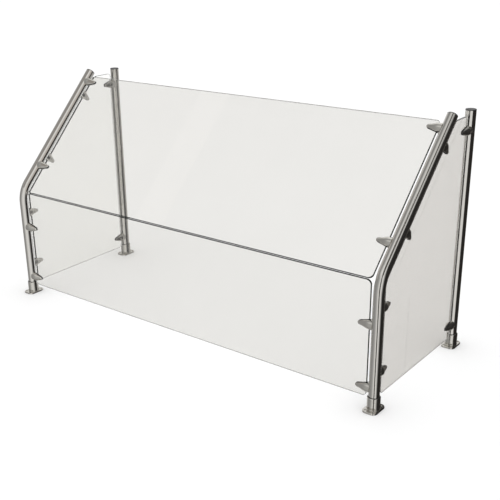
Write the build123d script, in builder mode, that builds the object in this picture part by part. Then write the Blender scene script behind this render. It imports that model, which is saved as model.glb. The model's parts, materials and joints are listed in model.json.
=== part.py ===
from build123d import *
import math
import os

# Countertop sneeze guard: four round posts on flanged feet carry four glass panels in slotted clips.
# Millimetres, +Z up, +Y towards the servers. The origin is on the counter, midway between the posts.

# Frame: the sloped tubes end short of the rear posts, and a little higher than their tops
post_spacing = 1143.0
post_depth = 394.0
tube_diameter = 25.4
tube_wall = 1.5
bend_height = 307.5
bend_angle = 45.0
bend_radius = 76.0
top_opening = 98.5
rear_post_drop = 3.5
cap_thickness = 2.0
cap_plug_length = 12.0
cap_plug_wall = 1.5
cap_fit_gap = 0.1

# Feet: the plate stands out past the sleeve by a margin at its sides and at its ends
plate_side_margin = 2.8
plate_end_margin = 10.8
plate_thickness = 4.0
plate_corner_radius = 11.0
plate_edge_chamfer = 0.8
sleeve_wall = 2.3
sleeve_height = 29.0
sleeve_fit_gap = 0.2
sleeve_rim_chamfer = 0.9
sleeve_root_fillet = 1.2
foot_hole_diameter = 5.5
foot_hole_edge_distance = 7.5
foot_screw_diameter = 5.0
foot_screw_height = 14.0
foot_screw_socket = 2.5
foot_screw_socket_depth = 1.6

# Glass
glass_thickness = 6.0
glass_bottom_height = 28.0
glass_corner_radius = 11.0
glass_arris = 0.5
front_glass_edge_gap = 1.9
end_glass_front_gap = 6.5
end_glass_rear_gap = 2.9
lower_glass_top_gap = 1.8
upper_glass_bottom_gap = 1.0
upper_glass_end_gap = 18.0
end_glass_top_gap = 13.0

# Clips: the nose stands out from the tube's wall, and the saddle wraps back round the tube
clip_projection = 34.5
clip_saddle_wrap = 4.7
clip_height = 23.5
clip_nose_radius = 6.0
clip_shoulder_length = 13.0
clip_shoulder_radius = 40.0
clip_seat_gap = 0.05
clip_back_wall = 3.4
gasket_thickness = 1.0
gasket_inset = 1.0
thread_gap = 0.05
pad_diameter = 9.0
pad_thickness = 1.5
pad_fit_gap = 0.1
grip_setback = 12.0
grip_screw_diameter = 5.0
grip_screw_recess = 0.6
grip_screw_socket = 2.5
grip_screw_socket_depth = 2.0
fixing_screw_diameter = 4.0
fixing_head_overhang = 1.75
fixing_head_height = 2.2
fixing_screw_length = 12.0
rivet_wall = 1.0
rivet_length = 8.5
rivet_flush_gap = 0.4
rivet_collar_rim = 1.25
rivet_collar_length = 1.8
rivet_fit_gap = 0.1

# Clip places: each panel's bottom clips rise from the counter or from the bend, and its top
# clips drop from the bend or from the tube's end
lower_clip_rise = 51.0
lower_clip_drop = 104.0
upper_clip_rise = 90.0
upper_clip_drop = 37.0
end_front_clip_rise = 88.0
end_front_clip_drop = 65.5
end_slope_clip_rise = 128.0
end_slope_clip_drop = 70.0
end_rear_clip_rise = 60.0
end_rear_clip_drop = 47.5

# Places that follow from the sizes above
tube_radius = tube_diameter / 2
bore_radius = tube_radius - tube_wall
half_spacing = post_spacing / 2
front_y = -post_depth / 2
rear_y = post_depth / 2
slope_y = math.sin(math.radians(bend_angle))
slope_z = math.cos(math.radians(bend_angle))
slope_length = (post_depth - top_opening) / slope_y
rear_post_height = bend_height + slope_length * slope_z - rear_post_drop
slot_width = glass_thickness + 2 * gasket_thickness
slot_floor = tube_radius + clip_back_wall
clip_root = tube_radius - clip_saddle_wrap
clip_tip = tube_radius + clip_projection
grip_distance = slot_floor + grip_setback
rivet_radius = fixing_screw_diameter / 2 + rivet_wall
front_glass_reach = slot_floor + gasket_thickness + front_glass_edge_gap
end_glass_front_reach = slot_floor + gasket_thickness + end_glass_front_gap
end_glass_rear_reach = slot_floor + gasket_thickness + end_glass_rear_gap
lower_clip_heights = {"bottom": lower_clip_rise, "top": bend_height - lower_clip_drop}
upper_clip_places = {"bottom": upper_clip_rise, "top": slope_length - upper_clip_drop}
end_front_clip_heights = {"bottom": end_front_clip_rise, "top": bend_height - end_front_clip_drop}
end_slope_clip_places = {"bottom": end_slope_clip_rise, "top": slope_length - end_slope_clip_drop}
end_rear_clip_heights = {"bottom": end_rear_clip_rise, "top": rear_post_height - end_rear_clip_drop}
sides = {"left": -1, "right": 1}

os.makedirs("parts", exist_ok=True)


def save(part, name):
    part.label = name
    export_step(part, f"parts/{name}.step")


def slope_point(side, along, off_axis=0.0):
    """A point on a front post's sloped axis, or off it at right angles, down and to the rear."""
    y = front_y + along * slope_y + off_axis * slope_z
    z = bend_height + along * slope_z - off_axis * slope_y
    return Vector(side * half_spacing, y, z)


# Every clip lies on a plane of its own: origin on the post's axis, x towards the nose and
# z out through the public face of the glass that it grips.
def clip_planes():
    places = {}
    for hand, side in sides.items():
        x = side * half_spacing
        inward = (-side, 0, 0)
        for step, height in lower_clip_heights.items():
            places[f"{hand}_lower_{step}"] = Plane((x, front_y, height), inward, (0, -1, 0))
        for step, along in upper_clip_places.items():
            places[f"{hand}_upper_{step}"] = Plane(slope_point(side, along), inward, (0, -slope_z, slope_y))
        for step, height in end_front_clip_heights.items():
            places[f"{hand}_end_front_{step}"] = Plane((x, front_y, height), (0, 1, 0), (side, 0, 0))
        for step, along in end_slope_clip_places.items():
            rearward = (0, slope_z, -slope_y)
            places[f"{hand}_end_slope_{step}"] = Plane(slope_point(side, along), rearward, (side, 0, 0))
        for step, height in end_rear_clip_heights.items():
            places[f"{hand}_end_rear_{step}"] = Plane((x, rear_y, height), (0, -1, 0), (side, 0, 0))
    return places


clips = clip_planes()


def radial(plane, distance):
    """The plane square to a clip's nose direction, at a distance from the post's axis."""
    return Plane(plane.from_local_coords((distance, 0, 0)), plane.y_dir, plane.x_dir)


def across(plane, distance, height):
    """The plane parallel to the glass at a distance along the nose and a height above its middle."""
    return Plane(plane.from_local_coords((distance, 0, height)), plane.x_dir, plane.z_dir)


def disc(plane, radius):
    with BuildSketch(plane) as face:
        Circle(radius)
    return face.sketch


def polygon(plane, points):
    with BuildSketch(plane) as face:
        with BuildLine():
            Polyline(*points, close=True)
        make_face()
    return face.sketch


def corners(low_x, high_x, low_y, high_y):
    return [(low_x, low_y), (high_x, low_y), (high_x, high_y), (low_x, high_y)]


def nose_outline(plane, inset):
    """The outline of a clip's face, from its root to its round nose, drawn in by an inset."""
    with BuildSketch(plane) as face:
        with Locations((clip_root + clip_shoulder_length / 2, 0)):
            Rectangle(clip_shoulder_length, clip_height - 2 * inset)
        with Locations((clip_tip - clip_nose_radius, 0)):
            Circle(clip_nose_radius - inset)
        make_hull()
        along_nose = Axis(plane.origin, plane.x_dir)
        fillet(face.vertices().sort_by(along_nose)[2:4], clip_shoulder_radius - inset)
    return face.sketch


def nose_profile(plane):
    """The half of a clip's outline on one side of its axis."""
    return nose_outline(plane, 0) & polygon(plane, corners(clip_root, clip_tip, 0, clip_height))


def nose_reach(distance):
    """How far a clip's surface stands from its axis at a distance along the nose."""
    beyond = polygon(Plane.XY, corners(distance, clip_tip, 0, clip_height))
    return (nose_outline(Plane.XY, 0) & beyond).bounding_box().max.Y


def post_clips(hand, post):
    """The planes of the clips that one post carries."""
    keys = [key for key in clips if key.startswith(hand)]
    return [clips[key] for key in keys if ("rear" in key) == (post == "rear")]


def rivet_hole(plane):
    """The outline of a clip's hole in its post, started inside the tube."""
    return disc(radial(plane, bore_radius / 2), rivet_radius + rivet_fit_gap)


# Front posts: one tube, bent back above the lower glass
for hand, side in sides.items():
    foot_point = Vector(side * half_spacing, front_y, plate_thickness)
    bend_point = slope_point(side, 0)
    end_point = slope_point(side, slope_length - cap_thickness)
    with BuildPart() as front_post:
        with BuildLine():
            FilletPolyline(foot_point, bend_point, end_point, radius=bend_radius)
        with BuildSketch(Plane(foot_point)):
            Circle(tube_radius)
            Circle(bore_radius, mode=Mode.SUBTRACT)
        sweep()
        for plane in post_clips(hand, "front"):
            extrude(rivet_hole(plane), amount=tube_radius, mode=Mode.SUBTRACT)
    save(front_post.part, f"front_post_{hand}")

# Rear posts: straight tubes
for hand, side in sides.items():
    with BuildPart() as rear_post:
        with BuildSketch(Plane((side * half_spacing, rear_y, plate_thickness))):
            Circle(tube_radius)
            Circle(bore_radius, mode=Mode.SUBTRACT)
        extrude(amount=rear_post_height - cap_thickness - plate_thickness)
        for plane in post_clips(hand, "rear"):
            extrude(rivet_hole(plane), amount=tube_radius, mode=Mode.SUBTRACT)
    save(rear_post.part, f"rear_post_{hand}")


def cap_planes():
    """Where each post ends, with z out of the tube."""
    places = {}
    for hand, side in sides.items():
        front_end = slope_point(side, slope_length - cap_thickness)
        rear_end = Vector(side * half_spacing, rear_y, rear_post_height - cap_thickness)
        places[f"front_post_cap_{hand}"] = Plane(front_end, (1, 0, 0), (0, slope_y, slope_z))
        places[f"rear_post_cap_{hand}"] = Plane(rear_end)
    return places


# Post caps: a disc flush with the tube, on a plug that is pressed into it
for name, plane in cap_planes().items():
    with BuildPart() as cap:
        with BuildSketch(plane):
            Circle(tube_radius)
        extrude(amount=cap_thickness)
        chamfer(cap.faces().sort_by(Axis(plane.origin, plane.z_dir))[-1].edges(), cap_thickness / 4)
        with BuildSketch(plane.offset(-cap_plug_length)):
            Circle(bore_radius - cap_fit_gap)
            Circle(bore_radius - cap_fit_gap - cap_plug_wall, mode=Mode.SUBTRACT)
        extrude(amount=cap_plug_length)
    save(cap.part, name)

# Feet: a flange plate with a round sleeve that the tube stands in
sleeve_bore = tube_radius + sleeve_fit_gap
sleeve_radius = sleeve_bore + sleeve_wall
plate_width = 2 * (sleeve_radius + plate_side_margin)
plate_length = 2 * (sleeve_radius + plate_end_margin)
foot_hole_spacing_x = plate_width - 2 * foot_hole_edge_distance
foot_hole_spacing_y = plate_length - 2 * foot_hole_edge_distance
foot_places = {}
for hand, side in sides.items():
    foot_places[f"front_{hand}"] = Vector(side * half_spacing, front_y, 0)
    foot_places[f"rear_{hand}"] = Vector(side * half_spacing, rear_y, 0)

for name, place in foot_places.items():
    with BuildPart() as foot:
        with BuildSketch(Plane(place)):
            RectangleRounded(plate_width, plate_length, plate_corner_radius)
        extrude(amount=plate_thickness)
        chamfer(foot.faces().sort_by(Axis.Z)[-1].edges(), plate_edge_chamfer)
        with BuildSketch(Plane(place).offset(plate_thickness)):
            Circle(sleeve_radius)
        extrude(amount=sleeve_height)
        root_edges = foot.edges().filter_by(GeomType.CIRCLE).filter_by_position(
            Axis.Z, plate_thickness - 0.1, plate_thickness + 0.1
        )
        fillet(root_edges.filter_by(lambda edge: abs(edge.radius - sleeve_radius) < 0.1), sleeve_root_fillet)
        with BuildSketch(Plane(place).offset(plate_thickness)):
            Circle(sleeve_bore)
        extrude(amount=sleeve_height, mode=Mode.SUBTRACT)
        chamfer(foot.faces().sort_by(Axis.Z)[-1].edges(), sleeve_rim_chamfer)
        with BuildSketch(Plane(place)):
            with GridLocations(foot_hole_spacing_x, foot_hole_spacing_y, 2, 2):
                Circle(foot_hole_diameter / 2)
        extrude(amount=plate_thickness, mode=Mode.SUBTRACT)
        screw_centre = place + Vector(0, 0, plate_thickness + foot_screw_height)
        with BuildSketch(Plane(screw_centre, (1, 0, 0), (0, 1, 0))):
            Circle(foot_screw_diameter / 2 + thread_gap)
        extrude(amount=sleeve_radius + sleeve_wall, mode=Mode.SUBTRACT)
    save(foot.part, f"foot_{name}")


def socket_screw(plane, diameter, length, socket, socket_depth):
    """A headless screw that starts on a plane and runs along its z, with its socket at the far end."""
    with BuildPart() as screw:
        with BuildSketch(plane):
            Circle(diameter / 2)
        extrude(amount=length)
        with BuildSketch(plane.offset(length - socket_depth)):
            RegularPolygon(socket / 2, 6, major_radius=False)
        extrude(amount=socket_depth, mode=Mode.SUBTRACT)
    return screw.part


# Foot set screws: one in the rear of each sleeve, against the tube
with BuildPart() as foot_screws:
    for place in foot_places.values():
        tip = place + Vector(0, tube_radius + thread_gap, plate_thickness + foot_screw_height)
        length = sleeve_wall + sleeve_fit_gap - 2 * thread_gap
        tip_plane = Plane(tip, (1, 0, 0), (0, 1, 0))
        add(socket_screw(tip_plane, foot_screw_diameter, length, foot_screw_socket, foot_screw_socket_depth))
save(foot_screws.part, "foot_set_screws")


def glass_panel(plane, points):
    """A flat panel about a middle plane, with round corners and arrised edges."""
    with BuildPart() as panel:
        with BuildSketch(plane.offset(-glass_thickness / 2)) as outline:
            with BuildLine():
                Polyline(*points, close=True)
            make_face()
            fillet(outline.vertices(), glass_corner_radius)
        extrude(amount=glass_thickness)
        faces = panel.faces().sort_by(Axis(plane.origin, plane.z_dir))
        chamfer(faces[0].edges() + faces[-1].edges(), glass_arris)
    return panel.part


# Front glass: an upright lower panel and a sloped upper one, which meet at the bend
front_half_width = half_spacing - front_glass_reach
lower_top = bend_height - lower_glass_top_gap
lower_plane = Plane((0, front_y, 0), (1, 0, 0), (0, -1, 0))
lower_points = corners(-front_half_width, front_half_width, glass_bottom_height, lower_top)
save(glass_panel(lower_plane, lower_points), "lower_front_glass")

upper_end = slope_length - upper_glass_end_gap
upper_plane = Plane((0, front_y, bend_height), (1, 0, 0), (0, -slope_z, slope_y))
upper_points = corners(-front_half_width, front_half_width, upper_glass_bottom_gap, upper_end)
save(glass_panel(upper_plane, upper_points), "upper_front_glass")


def end_glass_points():
    """The five corners of an end panel as (y, z), set in from the axes of the front and rear tubes."""
    front_edge = front_y + end_glass_front_reach
    top = rear_post_height - end_glass_top_gap
    bend_corner_z = bend_height - end_glass_front_reach * math.tan(math.radians(bend_angle / 2))
    top_corner_y = front_edge + (top - bend_corner_z) * slope_y / slope_z
    rear_edge = rear_y - end_glass_rear_reach
    return [
        (front_edge, glass_bottom_height),
        (rear_edge, glass_bottom_height),
        (rear_edge, top),
        (top_corner_y, top),
        (front_edge, bend_corner_z),
    ]


# End glass: five-sided panels that fill each end of the frame
for hand, side in sides.items():
    end_plane = Plane((side * half_spacing, 0, 0), (0, 1, 0), (1, 0, 0))
    save(glass_panel(end_plane, end_glass_points()), f"{hand}_end_glass")


# Clips: a slotted bullet-shaped block with a saddle for the tube
pad_seat = -slot_width / 2 - pad_thickness
clip_radius = clip_height / 2
slot_points = corners(slot_floor, clip_tip + clip_radius, -clip_height, clip_height)
fixing_head_diameter = fixing_screw_diameter + 2 * fixing_head_overhang


def countersink(plane, gap):
    """The cone under a fixing screw's head, with its mouth in the slot's floor."""
    with BuildPart() as cone:
        with BuildSketch(radial(plane, slot_floor - fixing_head_height)):
            Circle(fixing_screw_diameter / 2 + gap)
        with BuildSketch(radial(plane, slot_floor)):
            Circle(fixing_head_diameter / 2 + gap)
        loft()
    return cone.part


for name, plane in clips.items():
    edge_on = Plane(plane.from_local_coords((0, -clip_height, 0)), plane.x_dir, plane.y_dir)
    with BuildPart() as clip:
        revolve(nose_profile(plane), axis=Axis(plane.origin, plane.x_dir))
        extrude(polygon(plane.offset(-slot_width / 2), slot_points), amount=slot_width, mode=Mode.SUBTRACT)
        extrude(disc(edge_on, tube_radius + clip_seat_gap), amount=2 * clip_height, mode=Mode.SUBTRACT)
        fixing_hole = disc(radial(plane, tube_radius / 2), fixing_screw_diameter / 2 + thread_gap)
        extrude(fixing_hole, amount=slot_floor, mode=Mode.SUBTRACT)
        add(countersink(plane, thread_gap), mode=Mode.SUBTRACT)
        grip_hole = disc(across(plane, grip_distance, -clip_radius), grip_screw_diameter / 2 + thread_gap)
        extrude(grip_hole, amount=clip_radius, mode=Mode.SUBTRACT)
        pad_pocket = disc(across(plane, grip_distance, pad_seat), pad_diameter / 2 + pad_fit_gap)
        extrude(pad_pocket, amount=pad_thickness, mode=Mode.SUBTRACT)
    save(clip.part, f"clip_{name}")

# Gaskets: a soft channel between each clip and its glass, in one node for each panel
heel_points = corners(0, slot_floor, -clip_height, clip_height)
channel_points = corners(slot_floor + gasket_thickness, clip_tip, -clip_height, clip_height)
for group in ("lower", "upper", "left_end", "right_end"):
    with BuildPart() as gaskets:
        for plane in (clips[name] for name in clips if group in name):
            extrude(nose_outline(plane.offset(-slot_width / 2), gasket_inset), amount=slot_width)
            heel = polygon(plane.offset(-slot_width / 2), heel_points)
            extrude(heel, amount=slot_width, mode=Mode.SUBTRACT)
            channel = polygon(plane.offset(-glass_thickness / 2), channel_points)
            extrude(channel, amount=glass_thickness, mode=Mode.SUBTRACT)
    save(gaskets.part, f"{group}_gaskets")

# Pressure pads: the steel disc between each grip screw and the gasket
with BuildPart() as pads:
    for plane in clips.values():
        extrude(disc(across(plane, grip_distance, pad_seat), pad_diameter / 2), amount=pad_thickness)
save(pads.part, "pressure_pads")

# Grip screws: one in the service-side jaw of each clip
grip_face = nose_reach(grip_distance + grip_screw_diameter / 2)
grip_screw_length = grip_face + pad_seat - grip_screw_recess
with BuildPart() as grip_screws:
    for plane in clips.values():
        seat = across(plane, grip_distance, pad_seat)
        outward = Plane(seat.origin, seat.x_dir, -seat.z_dir)
        add(
            socket_screw(
                outward, grip_screw_diameter, grip_screw_length, grip_screw_socket, grip_screw_socket_depth
            )
        )
save(grip_screws.part, "grip_screws")

# Fixing screws: countersunk in each slot's floor, through the saddle into the tube
with BuildPart() as fixing_screws:
    for plane in clips.values():
        tip = radial(plane, slot_floor - fixing_screw_length)
        extrude(disc(tip, fixing_screw_diameter / 2), amount=fixing_screw_length)
        add(countersink(plane, 0))
save(fixing_screws.part, "fixing_screws")

# Rivet nuts: flush in the tube wall, with the set collar just inside it
rivet_end = tube_radius - rivet_flush_gap
collar_radius = rivet_radius + rivet_collar_rim
collar_outer = math.sqrt(bore_radius**2 - collar_radius**2) - rivet_fit_gap
with BuildPart() as rivet_nuts:
    for plane in clips.values():
        base = radial(plane, rivet_end - rivet_length)
        collar = radial(plane, collar_outer - rivet_collar_length)
        extrude(disc(base, rivet_radius), amount=rivet_length)
        extrude(disc(collar, collar_radius), amount=rivet_collar_length)
        bore = disc(base, fixing_screw_diameter / 2 + thread_gap)
        extrude(bore, amount=rivet_length, mode=Mode.SUBTRACT)
save(rivet_nuts.part, "rivet_nuts")
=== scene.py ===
import json
import math

import bmesh
import bpy
from mathutils import Matrix, Vector


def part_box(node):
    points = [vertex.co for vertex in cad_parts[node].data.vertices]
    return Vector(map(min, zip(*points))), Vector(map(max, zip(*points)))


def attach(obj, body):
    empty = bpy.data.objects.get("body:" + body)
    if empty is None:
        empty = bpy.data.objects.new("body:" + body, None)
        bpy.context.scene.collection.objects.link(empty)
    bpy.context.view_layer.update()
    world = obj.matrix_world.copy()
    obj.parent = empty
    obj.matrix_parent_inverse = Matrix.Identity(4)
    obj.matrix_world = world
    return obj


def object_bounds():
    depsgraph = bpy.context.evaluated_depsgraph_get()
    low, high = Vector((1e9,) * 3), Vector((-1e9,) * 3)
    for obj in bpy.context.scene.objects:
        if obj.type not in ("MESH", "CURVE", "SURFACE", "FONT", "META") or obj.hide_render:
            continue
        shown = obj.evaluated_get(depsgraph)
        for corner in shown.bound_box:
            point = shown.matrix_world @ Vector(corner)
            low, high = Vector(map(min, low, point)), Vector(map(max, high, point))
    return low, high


# Looks of a countertop sneeze guard: polished tube posts, satin clips and feet, and clear glass.
# Metres, +Z up. The customer stands at -Y and the server at +Y.

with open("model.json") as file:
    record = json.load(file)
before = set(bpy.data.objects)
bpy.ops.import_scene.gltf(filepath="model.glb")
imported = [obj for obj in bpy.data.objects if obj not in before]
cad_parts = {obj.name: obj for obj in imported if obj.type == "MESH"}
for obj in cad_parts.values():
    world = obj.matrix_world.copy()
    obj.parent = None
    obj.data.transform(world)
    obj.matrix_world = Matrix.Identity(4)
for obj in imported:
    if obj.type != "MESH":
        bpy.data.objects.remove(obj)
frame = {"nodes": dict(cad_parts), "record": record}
cad_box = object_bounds()

BEND_ANGLE = math.radians(45)
SLOPE = Vector((0, math.sin(BEND_ANGLE), math.cos(BEND_ANGLE)))
UPRIGHT = Vector((0, 0, 1))
SLOPE_MIDDLE = Vector((0, 0.147, 0.455))  # from the floor under a front post

CAMERA = {
    "azimuth": 39.09, "elevation": 22.49, "roll": -1.36,
    "distance": 2.3866, "lens": 62.9, "shift": 0.06,
}
CAMERA_TARGET = (-0.0199, 0.003, 0.1003)
STUDIO_LIGHT = 1.12
FLOOR_SIZE = 60

# The black rings on the feet, painted shade in the gap between each sleeve and its tube: the gap round
# the tube, and the height and reach of the ring
RING_GAP = 0.00005
RING_SECTION = 0.0011
RING_SOFTENING = 0.22


def tube_centre(post):
    """The middle of a post's tube at its lower end, and the tube's radius."""
    low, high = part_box(post)
    radius = (high.x - low.x) / 2
    return Vector((low.x + radius, low.y + radius, low.z)), radius


def bend_corner(post):
    """Where the upright and the sloped centre lines of a front post meet."""
    corner = tube_centre(post)[0]
    corner.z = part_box("upper_front_glass")[0].z
    return corner


# ---------------------------------------------------------------- node helpers

def add_node(tree, kind, **settings):
    """A new node, with its own settings given by name."""
    node = tree.nodes.new(kind)
    for name, value in settings.items():
        setattr(node, name, value)
    return node


def put(tree, socket, value):
    """Links a socket to another socket, or gives it a plain value."""
    if isinstance(value, bpy.types.NodeSocket):
        tree.links.new(value, socket)
    else:
        socket.default_value = value


def maths(tree, operation, first, second=0.0, clamp=False):
    node = add_node(tree, "ShaderNodeMath", operation=operation, use_clamp=clamp)
    put(tree, node.inputs[0], first)
    put(tree, node.inputs[1], second)
    return node.outputs[0]


def dot(tree, vector, direction):
    node = add_node(tree, "ShaderNodeVectorMath", operation="DOT_PRODUCT")
    put(tree, node.inputs[0], vector)
    put(tree, node.inputs[1], direction)
    return node.outputs["Value"]


def map_range(tree, value, low, high, to_low=0.0, to_high=1.0, smooth=False):
    kind = "SMOOTHSTEP" if smooth else "LINEAR"
    node = add_node(tree, "ShaderNodeMapRange", interpolation_type=kind)
    for place, number in enumerate((value, low, high, to_low, to_high)):
        put(tree, node.inputs[place], number)
    return node.outputs[0]


def mapped(tree, vector, scale=(1, 1, 1), turn=(0, 0, 0), shift=(0, 0, 0)):
    node = add_node(tree, "ShaderNodeMapping")
    put(tree, node.inputs["Vector"], vector)
    node.inputs["Location"].default_value = shift
    node.inputs["Rotation"].default_value = turn
    node.inputs["Scale"].default_value = scale
    return node.outputs[0]


def noise(tree, vector, scale, detail=3.0, roughness=0.55):
    """A cloudy pattern with about `scale` patches to the metre."""
    node = add_node(tree, "ShaderNodeTexNoise")
    put(tree, node.inputs["Vector"], vector)
    node.inputs["Scale"].default_value = scale
    node.inputs["Detail"].default_value = detail
    node.inputs["Roughness"].default_value = roughness
    return node.outputs["Fac"]


def mixed_colour(tree, factor, first, second):
    node = add_node(tree, "ShaderNodeMix", data_type="RGBA")
    put(tree, node.inputs[0], factor)
    put(tree, node.inputs[6], first)
    put(tree, node.inputs[7], second)
    return node.outputs[2]


def mixed_vector(tree, factor, first, second):
    node = add_node(tree, "ShaderNodeMix", data_type="VECTOR")
    put(tree, node.inputs[0], factor)
    put(tree, node.inputs[4], first)
    put(tree, node.inputs[5], second)
    return node.outputs[1]


def bump(tree, height, distance):
    node = add_node(tree, "ShaderNodeBump")
    node.inputs["Distance"].default_value = distance
    put(tree, node.inputs["Height"], height)
    return node.outputs[0]


def new_material(name):
    """A material with one Principled shader, and the piece's own coordinates."""
    material = bpy.data.materials.new(name)
    material.use_nodes = True
    tree = material.node_tree
    tree.nodes.clear()
    shader = add_node(tree, "ShaderNodeBsdfPrincipled")
    output = add_node(tree, "ShaderNodeOutputMaterial")
    tree.links.new(shader.outputs[0], output.inputs["Surface"])
    place = add_node(tree, "ShaderNodeTexCoord").outputs["Object"]
    return material, tree, shader, place


def shade(colour, factor):
    """A colour made darker or lighter, with full opacity."""
    return tuple(channel * factor for channel in colour) + (1.0,)


# ---------------------------------------------------------------- materials

TUBE_COLOUR = (0.62, 0.605, 0.575)
CLIP_COLOUR = (0.64, 0.625, 0.585)
FOOT_COLOUR = (0.58, 0.565, 0.53)
SCREW_COLOUR = (0.60, 0.59, 0.57)
# The glass tints: one glass, with painted shade or painted light that makes each panel lighter or darker
# than the others.
UPPER_TINT_AND_SHADE = (0.815, 0.807, 0.784)
LOWER_TINT_AND_SHADE = (0.80, 0.792, 0.768)
LEFT_TINT_AND_LIGHT = (1.0, 1.0, 0.985)
RIGHT_TINT_AND_SHADE = (0.745, 0.725, 0.695)
# Painted shade: the near-black, dark grey-green colour given to the glass edges.
GLASS_EDGE_SHADE = (0.009, 0.012, 0.010)


def worn_edges(tree, radius):
    """A mask of a piece's outside and inside corners, where the steel is rubbed bright."""
    rounded = add_node(tree, "ShaderNodeBevel", samples=4)
    rounded.inputs["Radius"].default_value = radius
    flat = add_node(tree, "ShaderNodeNewGeometry").outputs["Normal"]
    return map_range(tree, dot(tree, rounded.outputs[0], flat), 0.995, 0.90, smooth=True)


def finish_steel(tree, shader, colour, tone, roughness, height, depth):
    """Steel whose tone, roughness and surface follow the given patterns."""
    toned = mixed_colour(tree, tone, shade(colour, 0.93), shade(colour, 1.05))
    tree.links.new(toned, shader.inputs["Base Color"])
    shader.inputs["Metallic"].default_value = 1.0
    tree.links.new(roughness, shader.inputs["Roughness"])
    tree.links.new(bump(tree, height, depth), shader.inputs["Normal"])


def tube_steel(name, corner, slope):
    """Polished tube with fine lengthwise drawing lines, which follow the bend where there is one."""
    material, tree, shader, place = new_material(name)
    centred = mapped(tree, place, shift=tuple(-value for value in corner))
    along = centred
    if slope:
        halfway = (0, math.sin(slope / 2), math.cos(slope / 2))
        past_bend = map_range(tree, dot(tree, centred, halfway), -0.03, 0.03, smooth=True)
        straightened = mapped(tree, centred, turn=(slope, 0, 0))
        along = mixed_vector(tree, past_bend, centred, straightened)
    lines = noise(tree, mapped(tree, along, scale=(1, 1, 0.004)), 1100, 2.0)
    broad = noise(tree, mapped(tree, along, scale=(1, 1, 0.02)), 180, 2.0)
    smears = noise(tree, along, 9, 4.0)
    tone = maths(tree, "MULTIPLY", broad, smears)
    polish = map_range(tree, lines, 0.3, 0.7, 0.06, 0.11)
    roughness = maths(tree, "ADD", polish, map_range(tree, smears, 0.35, 0.75, 0.0, 0.05))
    finish_steel(tree, shader, TUBE_COLOUR, tone, roughness, lines, 0.000005)
    return material


def cast_steel(name, colour, base_roughness):
    """Satin cast steel: a fine tumbled grain, soft mottling and bright rubbed edges."""
    material, tree, shader, place = new_material(name)
    grain = noise(tree, place, 2600, 2.0, 0.7)
    mottle = noise(tree, place, 140, 3.0)
    worn = worn_edges(tree, 0.0009)
    rubbed = maths(tree, "MULTIPLY", worn, 0.6)
    tone = maths(tree, "ADD", maths(tree, "MULTIPLY", mottle, 0.7), rubbed, clamp=True)
    satin = map_range(tree, grain, 0.3, 0.7, base_roughness - 0.05, base_roughness + 0.07)
    roughness = maths(tree, "SUBTRACT", satin, maths(tree, "MULTIPLY", worn, 0.08))
    surface = maths(tree, "ADD", maths(tree, "MULTIPLY", grain, 0.35), mottle)
    finish_steel(tree, shader, colour, tone, roughness, surface, 0.00004)
    return material


def turned_steel(name):
    """Plain machined screw steel with fine turning marks."""
    material, tree, shader, place = new_material(name)
    marks = noise(tree, place, 3500, 2.0)
    tone = noise(tree, place, 300, 2.0)
    roughness = map_range(tree, marks, 0.3, 0.7, 0.18, 0.32)
    finish_steel(tree, shader, SCREW_COLOUR, tone, roughness, marks, 0.00002)
    return material


def moulded(name, colour, base_roughness, grain_scale, depth):
    """Black rubber or plastic with a moulded grain and a little dust."""
    material, tree, shader, place = new_material(name)
    grain = noise(tree, place, grain_scale, 3.0, 0.6)
    dust = noise(tree, place, 60, 4.0)
    dusty = map_range(tree, dust, 0.45, 0.8)
    dusted = mixed_colour(tree, dusty, shade(colour, 1.0), shade(colour, 1.9))
    tree.links.new(dusted, shader.inputs["Base Color"])
    spread = map_range(tree, grain, 0.3, 0.7, base_roughness - 0.08, base_roughness + 0.08)
    tree.links.new(spread, shader.inputs["Roughness"])
    tree.links.new(bump(tree, grain, depth), shader.inputs["Normal"])
    return material


def panel_glass(name, facing, tint_and_shade):
    """Clear tempered glass, nearly colourless through its faces but with painted shade in each panel's
    tint; its ground edges are dark grey-green, painted shade along the glass edges.
    """
    material, tree, shader, place = new_material(name)
    normal = add_node(tree, "ShaderNodeNewGeometry").outputs["True Normal"]
    squareness = maths(tree, "ABSOLUTE", dot(tree, normal, facing))
    edge = map_range(tree, squareness, 0.96, 0.80)
    streaks = noise(tree, mapped(tree, place, scale=(1, 1, 0.3)), 7, 5.0, 0.6)
    # The face colour is the panel's tint with its painted shade.
    face = mixed_colour(tree, streaks, shade(tint_and_shade, 0.985), shade(tint_and_shade, 1.015))
    # The edges take the painted shade colour.
    body = mixed_colour(tree, edge, face, shade(GLASS_EDGE_SHADE, 1.0))
    tree.links.new(body, shader.inputs["Base Color"])
    ground = noise(tree, place, 1800, 2.0)
    smudges = map_range(tree, streaks, 0.55, 0.8, 0.0, 0.02)
    frosting = map_range(tree, ground, 0.3, 0.7, 0.12, 0.3)
    roughness = maths(tree, "ADD", smudges, maths(tree, "MULTIPLY", edge, frosting))
    tree.links.new(roughness, shader.inputs["Roughness"])
    shader.inputs["IOR"].default_value = 1.52
    shader.inputs["Transmission Weight"].default_value = 1.0
    return material


# ---------------------------------------------------------------- studio

def azimuth_of(tree, direction):
    """The compass angle of a direction, from 0 to 1 for -180 to 180 degrees from +X."""
    parts = add_node(tree, "ShaderNodeSeparateXYZ")
    tree.links.new(direction, parts.inputs[0])
    turn = maths(tree, "ARCTAN2", parts.outputs["Y"], parts.outputs["X"])
    return maths(tree, "ADD", maths(tree, "DIVIDE", turn, 2 * math.pi), 0.5)


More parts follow.
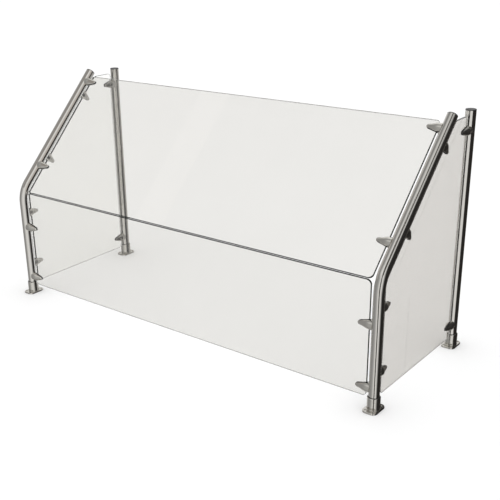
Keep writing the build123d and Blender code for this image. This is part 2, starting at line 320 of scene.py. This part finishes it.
# How bright the studio is by compass angle in degrees from +X, low down and overhead
WALLS = [
    (-180, 0.50), (-165, 0.36), (-140, 0.38), (-115, 0.50), (-100, 0.68), (-88, 0.92),
    (-72, 1.05), (-40, 1.05), (-28, 0.82), (-16, 0.36), (-5, 0.12), (7, 0.12),
    (22, 0.30), (45, 0.47), (75, 0.74), (95, 0.95), (150, 0.9), (180, 0.50),
]
CEILING = [
    (-180, 0.34), (-160, 0.38), (-148, 0.50), (-134, 0.66), (-112, 1.05), (-90, 1.08),
    (-70, 0.92), (-46, 1.05), (-24, 1.10), (-10, 0.72), (2, 0.58), (20, 0.28),
    (60, 0.34), (100, 1.0), (150, 1.05), (166, 0.45), (180, 0.34),
]
ZENITH = (0.8, 0.8, 0.79, 1.0)


def brightness_round(tree, around, levels):
    """A ring of brightness read at a compass angle."""
    ramp = add_node(tree, "ShaderNodeValToRGB")
    stops = ramp.color_ramp.elements
    while len(stops) < len(levels):
        stops.new(0.5)
    for stop, (angle, level) in zip(stops, levels):
        stop.position = (angle + 180) / 360
        stop.color = (level, level * 0.995, level * 0.985, 1.0)
    tree.links.new(around, ramp.inputs[0])
    return ramp.outputs[0]


def light_studio():
    """Even white light all round; shiny surfaces also see walls and a ceiling of uneven brightness."""
    world = bpy.data.worlds.new("studio")
    world.use_nodes = True
    bpy.context.scene.world = world
    tree = world.node_tree
    tree.nodes.clear()
    direction = add_node(tree, "ShaderNodeTexCoord").outputs["Generated"]
    around = azimuth_of(tree, direction)
    rise = dot(tree, direction, UPRIGHT)
    raised = map_range(tree, rise, 0.40, 0.66, smooth=True)
    walls = brightness_round(tree, around, WALLS)
    ceiling = brightness_round(tree, around, CEILING)
    sides = mixed_colour(tree, raised, walls, ceiling)
    overhead = map_range(tree, maths(tree, "ABSOLUTE", rise), 0.90, 0.98, smooth=True)
    room = mixed_colour(tree, overhead, sides, ZENITH)
    path = add_node(tree, "ShaderNodeLightPath")
    passed = maths(tree, "SUBTRACT", 1.0, path.outputs["Is Transmission Ray"])
    mirrored = maths(tree, "MULTIPLY", path.outputs["Is Glossy Ray"], passed)
    seen = mixed_colour(tree, mirrored, (STUDIO_LIGHT, STUDIO_LIGHT, STUDIO_LIGHT, 1.0), room)
    background = add_node(tree, "ShaderNodeBackground")
    tree.links.new(seen, background.inputs["Color"])
    output = add_node(tree, "ShaderNodeOutputWorld")
    tree.links.new(background.outputs[0], output.inputs["Surface"])


def stage_plane(name, centre, width, height, facing, material, upright):
    """A flat staging sheet that faces along one direction, with its height along another."""
    mesh = bpy.data.meshes.new(name)
    sheet = bmesh.new()
    bmesh.ops.create_grid(sheet, x_segments=1, y_segments=1, size=0.5)
    front = Vector(facing).normalized()
    sideways = Vector(upright).cross(front).normalized()
    turn = Matrix((sideways, front.cross(sideways), front)).transposed().to_4x4()
    size = Matrix.Diagonal((width, height, 1, 1))
    bmesh.ops.transform(sheet, matrix=Matrix.Translation(centre) @ turn @ size, verts=sheet.verts)
    sheet.to_mesh(mesh)
    sheet.free()
    piece = bpy.data.objects.new(name, mesh)
    bpy.context.scene.collection.objects.link(piece)
    mesh.materials.append(material)
    return piece


def lay_floor():
    """A plain pale floor, which shiny surfaces don't mirror."""
    material, tree, shader, place = new_material("pale_floor")
    mottle = noise(tree, place, 3, 2.0)
    paint = mixed_colour(tree, mottle, (0.93, 0.93, 0.93, 1), (0.95, 0.95, 0.95, 1))
    tree.links.new(paint, shader.inputs["Base Color"])
    shader.inputs["Roughness"].default_value = 0.9
    shader.inputs["Specular IOR Level"].default_value = 0.1
    level = (0, 0, cad_box[0].z)
    floor = stage_plane("floor", level, FLOOR_SIZE, FLOOR_SIZE, UPRIGHT, material, (0, 1, 0))
    floor.visible_glossy = False


def stand_flag(name, centre, width, height, facing, level, upright):
    """A studio flag or reflector card, which only shiny surfaces see."""
    material = bpy.data.materials.new(name)
    material.use_nodes = True
    tree = material.node_tree
    tree.nodes.clear()
    glow = add_node(tree, "ShaderNodeEmission")
    glow.inputs["Color"].default_value = (level, level * 0.93, level * 0.88, 1.0)
    output = add_node(tree, "ShaderNodeOutputMaterial")
    tree.links.new(glow.outputs[0], output.inputs["Surface"])
    flag = stage_plane(name, centre, width, height, facing, material, upright)
    flag.visible_camera = False
    flag.visible_diffuse = False
    flag.visible_transmission = False
    flag.visible_shadow = False


def stand_strip(name, beside, along, toward, distance, width, length, level):
    """A long flag along a tube and to one side of it, so that the tube reflects it as a band."""
    turn, rise = (math.radians(angle) for angle in toward)
    level_reach = math.cos(rise)
    reach = Vector((level_reach * math.cos(turn), level_reach * math.sin(turn), math.sin(rise)))
    outward = (reach - along * reach.dot(along)).normalized()
    stand_flag(name, beside + reach * distance, width, length, -outward, level, along)


def stand_flags():
    """The dark flags and the pale card round the posts. They also reach below the floor."""
    near_end, far_end = Vector((1.58, -0.34, -0.75)), Vector((0.80, 0.70, -0.75))
    run = far_end - near_end
    side_centre = (near_end + far_end) / 2
    stand_flag("side_flag", side_centre, run.length, 3.5, (run.y, -run.x, 0), 0.03, UPRIGHT)
    stand_flag("narrow_flag", (0.69, -0.42, 0.2), 0.085, 2.4, (-0.485, 0.875, 0), 0.10, UPRIGHT)
    stand_flag("end_flag", (0.69, 0.74, -0.75), 0.24, 3.5, (-0.32, -0.95, 0), 0.12, UPRIGHT)

    right, left = (tube_centre(post)[0] for post in ("front_post_right", "front_post_left"))
    right.z = left.z = cad_box[0].z
    right_post = right - UPRIGHT * 0.05
    right_slope, left_slope = right + SLOPE_MIDDLE, left + SLOPE_MIDDLE
    stand_strip("overhead_flag", right_slope, SLOPE, (-33, 60), 0.5, 0.17, 0.9, 0.12)
    stand_strip("inner_flag", right_post, UPRIGHT, (101, -20), 0.15, 0.07, 0.64, 0.05)
    stand_strip("inner_slope_flag", right_slope, SLOPE, (92, -16), 0.06, 0.035, 0.40, 0.05)
    stand_strip("left_shade", left_slope, SLOPE, (-108, 62), 0.5, 0.34, 0.9, 0.40)
    stand_strip("left_card", left_slope, SLOPE, (-4, 28), 0.4, 0.22, 0.8, 0.72)


def place_camera():
    """The camera looks down from the customer's side, to the right of the guard."""
    azimuth = math.radians(CAMERA["azimuth"])
    elevation = math.radians(CAMERA["elevation"])
    roll = math.radians(CAMERA["roll"])
    level = math.cos(elevation)
    back = Vector((math.sin(azimuth) * level, -math.cos(azimuth) * level, math.sin(elevation)))
    right = Vector((math.cos(azimuth), math.sin(azimuth), 0))
    up = back.cross(right)
    tilted_right = right * math.cos(roll) + up * math.sin(roll)
    tilted_up = up * math.cos(roll) - right * math.sin(roll)
    lens = bpy.data.cameras.new("camera")
    lens.sensor_width = 36
    lens.lens = CAMERA["lens"]
    lens.shift_x = CAMERA["shift"]
    lens.shift_y = CAMERA["shift"]
    lens.clip_start = 0.05
    lens.clip_end = 200
    camera = bpy.data.objects.new("camera", lens)
    turn = Matrix((tilted_right, tilted_up, back)).transposed().to_4x4()
    camera.matrix_world = Matrix.Translation(Vector(CAMERA_TARGET) + back * CAMERA["distance"]) @ turn
    bpy.context.scene.collection.objects.link(camera)
    bpy.context.scene.camera = camera


# ---------------------------------------------------------------- the object

def dress(node, material):
    """Gives every face of a CAD node one finish."""
    piece = frame["nodes"][node]
    for slot in piece.material_slots:
        slot.material = material


def nodes_with(slot):
    """The CAD nodes that share a material slot."""
    return [part["node"] for part in frame["record"]["subparts"] if part["material_slot"] == slot]


def dress_posts():
    """Polished steel on the four posts. The front ones bend, and their drawing lines with them."""
    for post in nodes_with("tube_steel"):
        if post.startswith("front"):
            dress(post, tube_steel(f"{post}_steel", bend_corner(post), BEND_ANGLE))
        else:
            dress(post, tube_steel(f"{post}_steel", tube_centre(post)[0], 0))


def dress_glass():
    """Each panel gets its own glass, whose tint also holds painted shade or light that makes it lighter
    or darker than the others, and which lets the studio's light through without a shadow.
    """
    up_and_out = (0, -SLOPE.z, SLOPE.y)
    dress("lower_front_glass", panel_glass("lower_glass", (0, -1, 0), LOWER_TINT_AND_SHADE))
    dress("upper_front_glass", panel_glass("upper_glass", up_and_out, UPPER_TINT_AND_SHADE))
    dress("left_end_glass", panel_glass("left_end_glass", (1, 0, 0), LEFT_TINT_AND_LIGHT))
    dress("right_end_glass", panel_glass("right_end_glass", (1, 0, 0), RIGHT_TINT_AND_SHADE))
    for node in nodes_with("clear_glass"):
        frame["nodes"][node].visible_shadow = False
        frame["nodes"][node].visible_diffuse = False


def ring_round(name, centre, inner, outer, height, material):
    """A flat ring of the given material, with its underside at the given centre."""
    mesh = bpy.data.meshes.new(name)
    ring = bmesh.new()
    section = ((inner, 0), (outer, 0), (outer, height), (inner, height))
    ring.faces.new([ring.verts.new((reach, 0, level)) for reach, level in section])
    bmesh.ops.bevel(
        ring, geom=ring.verts[:], offset=height * RING_SOFTENING,
        affect="VERTICES", segments=2, profile=0.5, material=-1,
    )
    outline = ring.faces[:]
    bmesh.ops.spin(
        ring, geom=ring.edges[:], cent=(0, 0, 0), axis=(0, 0, 1),
        angle=2 * math.pi, steps=72, use_merge=True,
    )
    bmesh.ops.delete(ring, geom=outline, context="FACES_ONLY")
    bmesh.ops.remove_doubles(ring, verts=ring.verts[:], dist=0.000001)
    bmesh.ops.recalc_face_normals(ring, faces=ring.faces[:])
    bmesh.ops.translate(ring, vec=centre, verts=ring.verts[:])
    for face in ring.faces:
        face.smooth = True
    ring.to_mesh(mesh)
    ring.free()
    mesh.materials.append(material)
    piece = bpy.data.objects.new(name, mesh)
    bpy.context.scene.collection.objects.link(piece)
    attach(piece, "root")


def shade_sleeve_gaps(material):
    """A thin black ring covers the gap round each tube, on top of its foot's sleeve: painted shade
    standing in for the dark gap between sleeve and tube.
    """
    for row, hand in (("front", "left"), ("front", "right"), ("rear", "left"), ("rear", "right")):
        centre, radius = tube_centre(f"{row}_post_{hand}")
        centre.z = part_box(f"foot_{row}_{hand}")[1].z
        inner, outer = radius + RING_GAP, radius + RING_SECTION
        ring_round(f"{row}_{hand}_gap_shade_ring", centre, inner, outer, RING_SECTION, material)


def dress_small_parts():
    """Satin clips and feet, machined screws, black gaskets and caps, and black rings on the feet as
    painted shade in the sleeve gaps.
    """
    clip = cast_steel("clip_satin_steel", CLIP_COLOUR, 0.15)
    foot = cast_steel("foot_satin_steel", FOOT_COLOUR, 0.15)
    screw = turned_steel("screw_steel")
    rubber = moulded("gasket_rubber", (0.022, 0.022, 0.022), 0.7, 900, 0.00006)
    plastic = moulded("cap_plastic", (0.02, 0.02, 0.021), 0.45, 1600, 0.00003)
    finishes = {
        "clip_steel": clip, "foot_steel": foot, "screw_steel": screw,
        "gasket_rubber": rubber, "black_plastic": plastic,
    }
    for slot, material in finishes.items():
        for node in nodes_with(slot):
            dress(node, material)
    # The gasket rubber also makes the rings of painted shade on the feet.
    shade_sleeve_gaps(rubber)


bpy.context.scene.view_settings.view_transform = "Standard"
light_studio()
lay_floor()
stand_flags()
place_camera()
dress_posts()
dress_glass()
dress_small_parts()
